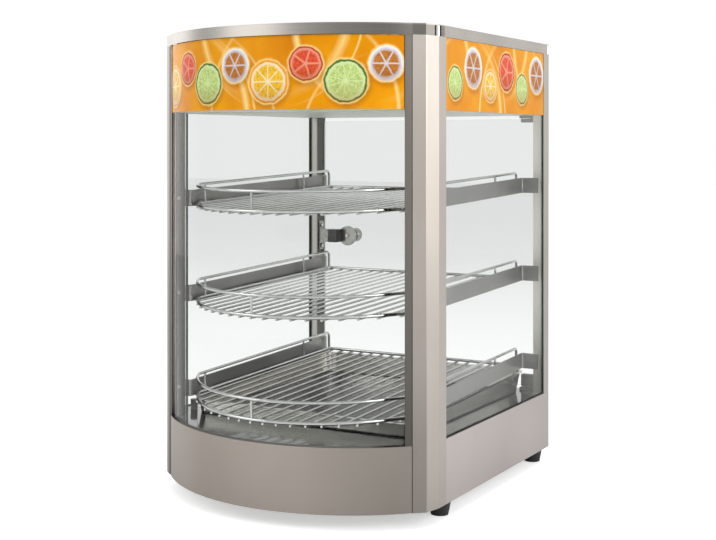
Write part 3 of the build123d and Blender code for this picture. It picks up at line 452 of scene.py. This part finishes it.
class Print:
    """The print of one header panel, built up layer by layer on a node tree."""

    def __init__(self, name, curved):
        self.material, self.tree, self.shader = new_finish(name, print_orange, 0.22)
        self.shader.inputs["Specular IOR Level"].default_value = 0.08
        self.shader.inputs["Coat Weight"].default_value = 0.04
        self.shader.inputs["Coat Roughness"].default_value = 0.05
        place = self.tree.nodes.new("ShaderNodeTexCoord")
        split = self.tree.nodes.new("ShaderNodeSeparateXYZ")
        self.tree.links.new(place.outputs["Object"], split.inputs[0])
        self.up = split.outputs["Z"]
        self.along = split.outputs["Y"]
        if curved:
            ahead = self.sum("SUBTRACT", arc_middle_y, split.outputs["Y"])
            self.along = self.sum("MULTIPLY", self.sum("ARCTAN2", split.outputs["X"], ahead), banner_radius)
        blotches = grain(self.tree, (14, 14, 10))
        self.wobble = self.sum("SUBTRACT", grain(self.tree, (120, 120, 120)), 0.5)
        self.mottle = grain(self.tree, (420, 420, 420))
        self.colour = self.blend(blotches, print_deep, print_orange, low=0.25, high=0.65)

    def sum(self, operation, *values, clamp=False):
        node = self.tree.nodes.new("ShaderNodeMath")
        node.operation = operation
        node.use_clamp = clamp
        for socket, value in zip(node.inputs, values):
            if isinstance(value, (int, float)):
                socket.default_value = value
            else:
                self.tree.links.new(value, socket)
        return node.outputs[0]

    def blend(self, mask, under, over, low=0.0, high=1.0):
        """Colour over another where the mask rises from low to high."""
        edge = self.tree.nodes.new("ShaderNodeMapRange")
        edge.inputs["From Min"].default_value = low
        edge.inputs["From Max"].default_value = high
        self.tree.links.new(mask, edge.inputs["Value"])
        mix = self.tree.nodes.new("ShaderNodeMix")
        mix.data_type = "RGBA"
        self.tree.links.new(edge.outputs["Result"], mix.inputs[0])
        for socket, colour in ((mix.inputs[6], under), (mix.inputs[7], over)):
            if isinstance(colour, tuple):
                socket.default_value = (*colour, 1)
            else:
                self.tree.links.new(colour, socket)
        return mix.outputs[2]

    def polar(self, middle, height):
        """Distance and bearing from a point of the panel."""
        across = self.sum("SUBTRACT", self.along, middle)
        rise = self.sum("SUBTRACT", self.up, height)
        square = self.sum("ADD", self.sum("MULTIPLY", across, across), self.sum("MULTIPLY", rise, rise))
        return self.sum("POWER", square, 0.5), self.sum("ARCTAN2", rise, across)

    def swoosh(self, middle, height, radius, width, strength):
        """Part of a wide pale ring that fades along its length."""
        distance, bearing = self.polar(middle, height)
        off = self.sum("ABSOLUTE", self.sum("SUBTRACT", distance, radius))
        band = self.sum("SUBTRACT", 1, self.sum("DIVIDE", off, width), clamp=True)
        wave = self.sum("COSINE", self.sum("MULTIPLY", bearing, 2))
        fade = self.sum("ADD", 0.5, self.sum("MULTIPLY", 0.5, wave))
        mask = self.sum("MULTIPLY", self.sum("MULTIPLY", band, fade), strength)
        self.colour = self.blend(mask, self.colour, swoosh_cream)

    def slice(self, middle, height, radius, peel, pith, flesh, parts):
        """Round slice: shadow and glow, peel, a pale ring, a ring of wedges and a shaded lower side."""
        shadow_across, shadow_down = 0.002, 0.004
        soft = 0.0008
        shadow, _ = self.polar(middle + shadow_across, height - shadow_down)
        shadow_inside = self.sum("SUBTRACT", radius, shadow)
        self.colour = self.blend(shadow_inside, self.colour, shadow_brown, low=-0.006, high=0.010)
        distance, bearing = self.polar(middle, height)
        distance = self.sum("ADD", distance, self.sum("MULTIPLY", self.wobble, radius * 0.16))
        ripple = self.sum("ABSOLUTE", self.sum("SINE", self.sum("MULTIPLY", bearing, parts / 2)))
        inside = self.sum("SUBTRACT", radius, distance)
        pith_inside = self.sum("SUBTRACT", radius * 0.9, distance)
        wedge = self.sum("SUBTRACT", self.sum("MULTIPLY", ripple, distance), radius * 0.085)
        wedge = self.sum("MINIMUM", wedge, self.sum("SUBTRACT", radius * 0.8, distance))
        halo = self.sum("ADD", inside, 0.002)
        self.colour = self.blend(halo, self.colour, glow_yellow, low=-0.001, high=0.002)
        self.colour = self.blend(inside, self.colour, peel, low=-soft, high=soft)
        self.colour = self.blend(pith_inside, self.colour, pith, low=-soft, high=soft)
        ripe, pale = tuple(c * 0.7 for c in flesh), tuple(min(1, c * 1.3) for c in flesh)
        mottled = self.blend(self.mottle, ripe, pale, low=0.3, high=0.7)
        self.colour = self.blend(wedge, self.colour, mottled, low=-soft, high=0.0022)
        lower = self.sum("MULTIPLY", self.sum("SUBTRACT", height, self.up), 0.45 / radius, clamp=True)
        lower = self.sum("MULTIPLY", lower, self.sum("GREATER_THAN", inside, 0))
        self.colour = self.blend(lower, self.colour, shadow_brown)

    def finish(self):
        self.tree.links.new(self.colour, self.shader.inputs["Base Color"])
        dots = grain(self.tree, (2500, 2500, 2500))
        spread(self.tree, dots, 0.18, 0.28, self.shader.inputs["Roughness"])
        return self.material


low_corner, high_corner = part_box("front_banner")
banner_middle_z = (low_corner.z + high_corner.z) / 2
kinds = list(fruits)
front_print = Print("front_print", curved=True)
for middle, height, radius, width, strength in (
    (-0.12, 0.49, 0.115, 0.006, 1.0),
    (-0.115, 0.485, 0.122, 0.002, 1.0),
    (-0.10, 0.475, 0.135, 0.0025, 0.9),
    (0.02, 0.62, 0.105, 0.008, 0.9),
    (0.03, 0.615, 0.112, 0.002, 1.0),
    (0.06, 0.50, 0.125, 0.0035, 0.9),
    (0.15, 0.60, 0.090, 0.006, 1.0),
    (0.158, 0.598, 0.096, 0.002, 1.0),
    (0.17, 0.47, 0.100, 0.0025, 0.8),
):
    front_print.swoosh(middle, height, radius, width, strength)
large_slice, small_slice = 0.026, 0.021
front_slices = 8
front_step = 0.0485
for i in range(front_slices):
    rise = 0.010 if i % 2 else -0.011
    size = small_slice if i % 2 else large_slice
    middle = (i - (front_slices - 1) / 2) * front_step
    front_print.slice(middle, banner_middle_z + rise, size, **fruits[kinds[i % len(kinds)]])
dress(["front_banner"], front_print.finish())

side_print = Print("side_print", curved=False)
for middle, height, radius, width, strength in (
    (-0.06, 0.49, 0.110, 0.006, 1.0),
    (-0.052, 0.486, 0.118, 0.002, 1.0),
    (0.04, 0.62, 0.105, 0.007, 0.9),
    (0.10, 0.49, 0.120, 0.0035, 0.9),
    (0.108, 0.492, 0.127, 0.0015, 1.0),
    (0.18, 0.60, 0.085, 0.006, 0.9),
):
    side_print.swoosh(middle, height, radius, width, strength)
side_low, side_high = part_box("side_banner_right")
side_slices = 6
side_step = (side_high.y - side_low.y) / side_slices
for i in range(side_slices):
    rise = 0.011 if i % 2 else -0.010
    size = large_slice if i % 2 else small_slice
    middle = side_low.y + (i + 0.5) * side_step
    side_print.slice(middle, banner_middle_z + rise, size, **fruits[kinds[(i + 2) % len(kinds)]])
dress(["side_banner_left", "side_banner_right"], side_print.finish())

# The top cover: one brushed sheet with a turned-down rim, and a bright round trim in each corner.
# The rim's colour is painted darker at the right of the front and lighter along the straight sides, from
# the corner on: painted reflection.
cover_steel = brushed_sheet("cover_steel", (0.36, 0.335, 0.31), (0.50, 0.475, 0.445), "level", 0.27)
tree = cover_steel.node_tree
cover_top_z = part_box("top_cover")[1].z
# Painted reflection: the rim is darkened at the front right and brightened along the sides.
rim_right_shade, rim_side_light = (0.07, 0.175), (-0.126, -0.122)
on_rim = ramp(tree, coordinate(tree, "Z"), cover_top_z - 0.002, cover_top_z - 0.001, 1, 0)
tone(cover_steel, partly(tree, on_rim, ramp(tree, coordinate(tree, "X"), *rim_right_shade, 1.05, 0.56)))
tone(cover_steel, partly(tree, on_rim, ramp(tree, coordinate(tree, "Y"), *rim_side_light, 1, 1.95)))
dress(["top_cover"], cover_steel)
dress(["header_back_panel"], base_steel)


def bright_metal(name, colour, roughness):
    """Plated or polished metal with faint smears."""
    material, tree, shader = new_finish(name, colour, roughness, metallic=1.0)
    smears = grain(tree, (40, 40, 40))
    two_tones(tree, smears, tuple(c * 0.9 for c in colour), colour, shader.inputs["Base Color"])
    spread(tree, smears, roughness * 0.7, roughness * 1.6, shader.inputs["Roughness"])
    return material


bright_trim = bright_metal("bright_trim", (0.80, 0.79, 0.77), 0.12)
dress(["cover_corner_trims"], bright_trim)

# The ceiling: pale painted sheet with a milky window, under a fluorescent tube in two white holders.
ceiling_paint, tree, shader = new_finish("ceiling_paint", (0.66, 0.67, 0.60), 0.4)
two_tones(tree, grain(tree, (8, 8, 8)), (0.62, 0.63, 0.55), (0.70, 0.71, 0.63), shader.inputs["Base Color"])
bump(tree, grain(tree, (700, 700, 700)), 0.00002, shader)
dress(["ceiling"], ceiling_paint)
milky, tree, shader = new_finish("milky_window", (0.90, 0.90, 0.86), 0.35)
haze = grain(tree, (30, 30, 30))
two_tones(tree, haze, (0.86, 0.86, 0.82), (0.92, 0.92, 0.88), shader.inputs["Base Color"])
dress(["lamp_diffuser"], milky)
tube_white, tree, shader = new_finish("tube_white", (0.88, 0.88, 0.86), 0.12)
spread(tree, grain(tree, (50, 50, 50)), 0.08, 0.2, shader.inputs["Roughness"])
dress(["lamp_tube"], tube_white)
moulded_white, tree, shader = new_finish("moulded_white", (0.80, 0.79, 0.75), 0.45)
bump(tree, grain(tree, (600, 600, 600)), 0.00003, shader)
dress(["lamp_holders", "terminal_block", "thermostat_body"], moulded_white)

# Rails: six strips of brushed sheet that slope down to the front, with a ledge for the rack.
# Each is screwed to a column at its front end and lies on a post at its back end.
rail_steel = brushed_sheet("rail_steel", (0.24, 0.235, 0.225), (0.34, 0.335, 0.32), "Y", 0.36)
levels = ("bottom", "middle", "top")
dress([f"rail_{side}_{level}" for side in ("left", "right") for level in levels], rail_steel)

# Racks: chromed steel wire, the loop 4.5 mm, the rods 3 mm, welded where they cross.
# A raised guard wire runs round the front and the sides of each.
chrome = bright_metal("chrome", (0.60, 0.60, 0.59), 0.1)
dress([f"rack_{part}_{level}" for part in ("tray", "guard") for level in levels], chrome)

# The deck and the water pan: plain bright sheet, softly mirroring. The deck's colour is painted darker at
# the front and the right, and a near-black painted shadow lines the pan's foot.
# Two brown plastic blocks stand on the deck behind the columns.
deck_steel = brushed_sheet("deck_steel", (0.30, 0.31, 0.30), (0.36, 0.37, 0.36), "X", 0.1, 0.015, 0)
tree = deck_steel.node_tree
# Painted shade and reflection: the deck's colour is darker at the front and towards the right, and lighter
# at the back.
deck_front, deck_right = (-0.2, 0), (0, 0.14)
tone(deck_steel, ramp(tree, coordinate(tree, "Y"), *deck_front, 0.78, 1.25))
tone(deck_steel, ramp(tree, coordinate(tree, "X"), *deck_right, 1, 0.55))
dress(["deck"], deck_steel)
pan_steel = brushed_sheet("pan_steel", (0.54, 0.52, 0.475), (0.64, 0.62, 0.575), "Y", 0.2, 0.05, 0.00001)
tree = pan_steel.node_tree
# Painted shadow: a near-black band at the pan's foot stands in for the shade in the gap under it.
pan_shadow_low, pan_shadow_high = 0.1018, 0.1026
tone(pan_steel, ramp(tree, coordinate(tree, "Z"), pan_shadow_low, pan_shadow_high, 0.08, 1))
dress(["water_pan"], pan_steel)
stop_plastic, tree, shader = new_finish("stop_plastic", (0.20, 0.17, 0.13), 0.4)
mottling = grain(tree, (90, 90, 90))
two_tones(tree, mottling, (0.16, 0.135, 0.10), (0.24, 0.205, 0.16), shader.inputs["Base Color"])
dress(["deck_stops"], stop_plastic)

# The rear door's fittings: plated clips, plates and knob, and a magnet on a screwed bracket.
# A disc screwed to the glass meets the magnet when the door is shut.
plated = bright_metal("plated", (0.36, 0.355, 0.34), 0.26)
dress(["door_hinge_clips", "door_pivot_plates", "door_knob", "catch_bracket", "element_clips"], plated)
dress(["door_strike_disc"], bright_metal("disc_metal", (0.42, 0.415, 0.39), 0.2))
magnet_case, tree, shader = new_finish("magnet_case", (0.055, 0.055, 0.052), 0.45)
bump(tree, grain(tree, (900, 900, 900)), 0.00004, shader)
dress(["catch_magnet"], magnet_case)

# Screws: zinc-plated. They hold the rails at their front ends, the back panel, the catch and the door's
# disc with rounded heads, and the feet with flat ones.
screw_zinc = bright_metal("screw_zinc", (0.60, 0.59, 0.57), 0.2)
dress(["case_screws", "door_disc_screw", "foot_screws"], screw_zinc)

# The heating element under the deck: a bent metal tube, held up by clips.
# Heat has left its sheath oxide-grey.
element_oxide, tree, shader = new_finish("element_oxide", (0.10, 0.095, 0.09), 0.5, metallic=0.8)
scale = grain(tree, (60, 60, 60))
two_tones(tree, scale, (0.07, 0.065, 0.06), (0.15, 0.14, 0.13), shader.inputs["Base Color"])
dress(["heating_element"], element_oxide)

# Controls on the back: a black dial, two rockers in black housings, an amber lamp and a cord gland.
# All are moulded plastic, set in the base's back panel.


def moulded(name, colour, roughness):
    """Moulded plastic with a fine spark-eroded grain."""
    material, tree, shader = new_finish(name, colour, roughness)
    pits = grain(tree, (1100, 1100, 1100))
    clouds = grain(tree, (70, 70, 70))
    two_tones(tree, clouds, tuple(c * 0.85 for c in colour), colour, shader.inputs["Base Color"])
    spread(tree, pits, roughness - 0.05, roughness + 0.08, shader.inputs["Roughness"])
    bump(tree, pits, 0.00002, shader)
    return material


black_moulding = moulded("black_moulding", (0.016, 0.016, 0.017), 0.42)
dress(["thermostat_dial", "switch_housings", "cord_gland"], black_moulding)
dress(["power_switch_rocker"], moulded("red_rocker", (0.55, 0.02, 0.015), 0.25))
dress(["light_switch_rocker"], moulded("green_rocker", (0.02, 0.28, 0.07), 0.25))
dress(["pilot_lamp"], moulded("amber_lens", (0.85, 0.26, 0.02), 0.18))
